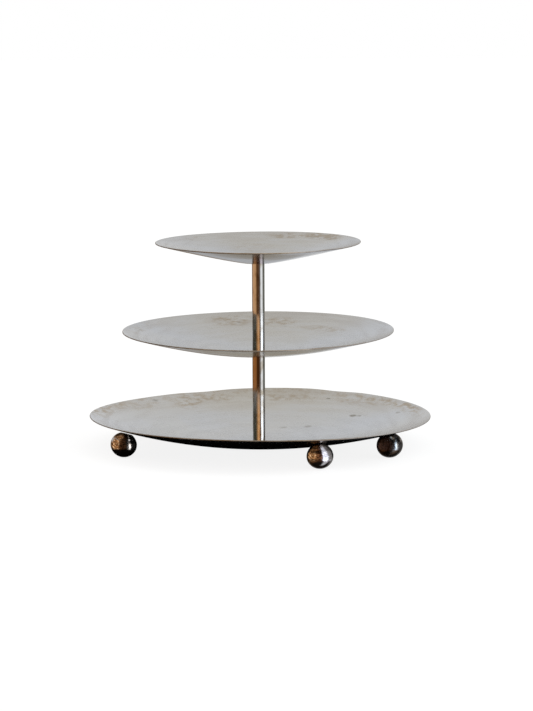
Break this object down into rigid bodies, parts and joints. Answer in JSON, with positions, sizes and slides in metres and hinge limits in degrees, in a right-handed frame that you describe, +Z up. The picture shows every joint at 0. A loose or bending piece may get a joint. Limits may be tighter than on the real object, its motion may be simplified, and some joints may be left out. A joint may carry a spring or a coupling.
{
  "type": "tiered cake stand",
  "caption": "Tiered cake stand with round, shallow dished metal plates that get smaller upwards, clamped on a slim central tube and standing on small ball feet.",
  "frame": {"origin": "on the floor, under the axis of the central post", "axes": "+Z up along the post; -Y is the front, where the ball foot nearest the viewer stands; +X to the viewer's right"},
  "size_m": [0.354, 0.354, 0.2134],
  "materials": {
    "plate_steel": "worn satin, mottled, with a bright cut rim",
    "post_steel": "polished tube, lightly worn",
    "foot_steel": "polished, dark warm tone",
    "fastener_steel": "plain machined"
  },
  "bodies": {
    "root": {"bottom_plate": "plate_steel", "middle_plate": "plate_steel", "top_plate": "plate_steel", "lower_post": "post_steel", "upper_post": "post_steel", "lower_post_base_plug": "fastener_steel", "lower_post_head_plug": "fastener_steel", "upper_post_base_plug": "fastener_steel", "upper_post_head_plug": "fastener_steel", "base_screw": "fastener_steel", "base_washer": "fastener_steel", "joining_stud": "fastener_steel", "top_screw": "fastener_steel", "top_washer": "fastener_steel", "ball_foot_left": "foot_steel", "ball_foot_front": "foot_steel", "ball_foot_right": "foot_steel", "ball_foot_back": "foot_steel", "foot_stud_left": "fastener_steel", "foot_stud_front": "fastener_steel", "foot_stud_right": "fastener_steel", "foot_stud_back": "fastener_steel"}
  },
  "joints": []
}
